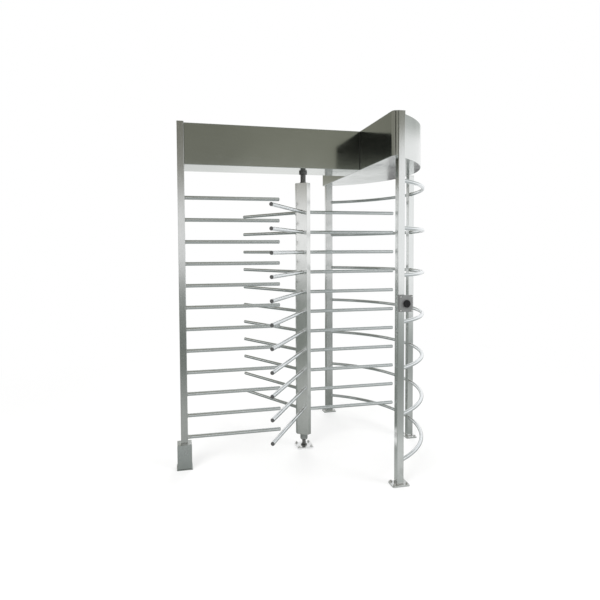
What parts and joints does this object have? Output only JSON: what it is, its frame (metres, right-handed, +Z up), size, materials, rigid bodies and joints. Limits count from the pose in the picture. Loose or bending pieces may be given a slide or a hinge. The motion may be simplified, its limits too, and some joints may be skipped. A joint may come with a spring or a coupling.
{
  "type": "full height turnstile",
  "caption": "Full height turnstile: a three-wing rotor of steel bars turns between a fixed comb of bars and a round cage of hoops, hung in a header with a locking mechanism.",
  "frame": {"origin": "on the floor, on the rotor's axis, in the middle of the floor pivot's foot", "axes": "+Z up along the rotor's axis, +X towards the cage of hoops, -X towards the comb, -Y to the front, where the header and the push button are"},
  "size_m": [1.8105, 1.5745, 2.3],
  "materials": {
    "brushed_steel": "stainless steel, satin brushed along its length",
    "polished_steel": "stainless steel tube, fine bright finish",
    "header_steel": "stainless steel sheet, satin, mirror-like underneath",
    "zinc_steel": "machined steel, zinc plated",
    "dark_steel": "blackened steel",
    "grey_cast": "cast aluminium, grey satin paint",
    "black_plastic": "black plastic"
  },
  "bodies": {
    "frame": {"comb_post": "brushed_steel", "comb_post_shoe": "brushed_steel", "barrier_bar_01": "polished_steel", "barrier_bar_02": "polished_steel", "barrier_bar_03": "polished_steel", "barrier_bar_04": "polished_steel", "barrier_bar_05": "polished_steel", "barrier_bar_06": "polished_steel", "barrier_bar_07": "polished_steel", "barrier_bar_08": "polished_steel", "barrier_bar_09": "polished_steel", "barrier_bar_10": "polished_steel", "barrier_bar_11": "polished_steel", "barrier_bar_12": "polished_steel", "front_post": "brushed_steel", "rear_post": "brushed_steel", "side_post": "brushed_steel", "guide_hoop_1": "polished_steel", "guide_hoop_2": "polished_steel", "guide_hoop_3": "polished_steel", "guide_hoop_4": "polished_steel", "guide_hoop_5": "polished_steel", "guide_hoop_6": "polished_steel", "guide_hoop_7": "polished_steel", "header_shell": "header_steel", "header_lid": "header_steel", "hood_shell": "header_steel", "hood_lid": "header_steel", "floor_pivot": "zinc_steel", "mechanism_plate": "zinc_steel", "top_bearing": "dark_steel", "damper_body": "dark_steel", "pawl_solenoid_right": "dark_steel", "pawl_solenoid_left": "dark_steel", "control_unit": "grey_cast", "button_box": "grey_cast", "button_bezel": "black_plastic"},
    "rotor": {"rotor_column": "brushed_steel", "arm_tier_01": "polished_steel", "arm_tier_02": "polished_steel", "arm_tier_03": "polished_steel", "arm_tier_04": "polished_steel", "arm_tier_05": "polished_steel", "arm_tier_06": "polished_steel", "arm_tier_07": "polished_steel", "arm_tier_08": "polished_steel", "arm_tier_09": "polished_steel", "arm_tier_10": "polished_steel", "arm_tier_11": "polished_steel", "column_top_plate": "zinc_steel", "main_shaft": "dark_steel", "column_base_hub": "zinc_steel", "locking_wheel": "zinc_steel", "shaft_gear": "zinc_steel"},
    "damper_rotor": {"damper_pinion": "zinc_steel"},
    "pawl_right": {"locking_pawl_right": "dark_steel"},
    "pawl_left": {"locking_pawl_left": "dark_steel"},
    "plunger_right": {"solenoid_plunger_right": "zinc_steel"},
    "plunger_left": {"solenoid_plunger_left": "zinc_steel"},
    "button": {"push_button": "black_plastic"}
  },
  "joints": [
    {"name": "rotor_turn", "type": "hinge", "parent": "frame", "child": "rotor", "pos_m": [0, 0, 0], "axis": [0, 0, 1], "continuous": true},
    {"name": "damper_spin", "type": "hinge", "parent": "frame", "child": "damper_rotor", "pos_m": [-0.12, 0, 2.1], "axis": [0, 0, 1], "continuous": true},
    {"name": "pawl_right_swing", "type": "hinge", "parent": "frame", "child": "pawl_right", "pos_m": [0.05367, -0.08168, 2.086], "axis": [0, 0, 1], "range_deg": [0, 8.8], "stiffness_Nm_per_rad": 2},
    {"name": "pawl_left_swing", "type": "hinge", "parent": "frame", "child": "pawl_left", "pos_m": [-0.05367, -0.08168, 2.086], "axis": [0, 0, -1], "range_deg": [0, 8.8], "stiffness_Nm_per_rad": 2},
    {"name": "plunger_right_stroke", "type": "slide", "parent": "frame", "child": "plunger_right", "axis": [1, 0, 0], "range_m": [0, 0.0063]},
    {"name": "plunger_left_stroke", "type": "slide", "parent": "frame", "child": "plunger_left", "axis": [-1, 0, 0], "range_m": [0, 0.0063]},
    {"name": "button_press", "type": "slide", "parent": "frame", "child": "button", "axis": [0, 1, 0], "range_m": [0, 0.004], "stiffness_N_per_m": 800}
  ],
  "couplings": [
    {"joint": "damper_spin", "follows": "rotor_turn", "ratio": -3},
    {"joint": "plunger_right_stroke", "follows": "pawl_right_swing", "m_per_rad": 0.04},
    {"joint": "plunger_left_stroke", "follows": "pawl_left_swing", "m_per_rad": 0.04}
  ]
}
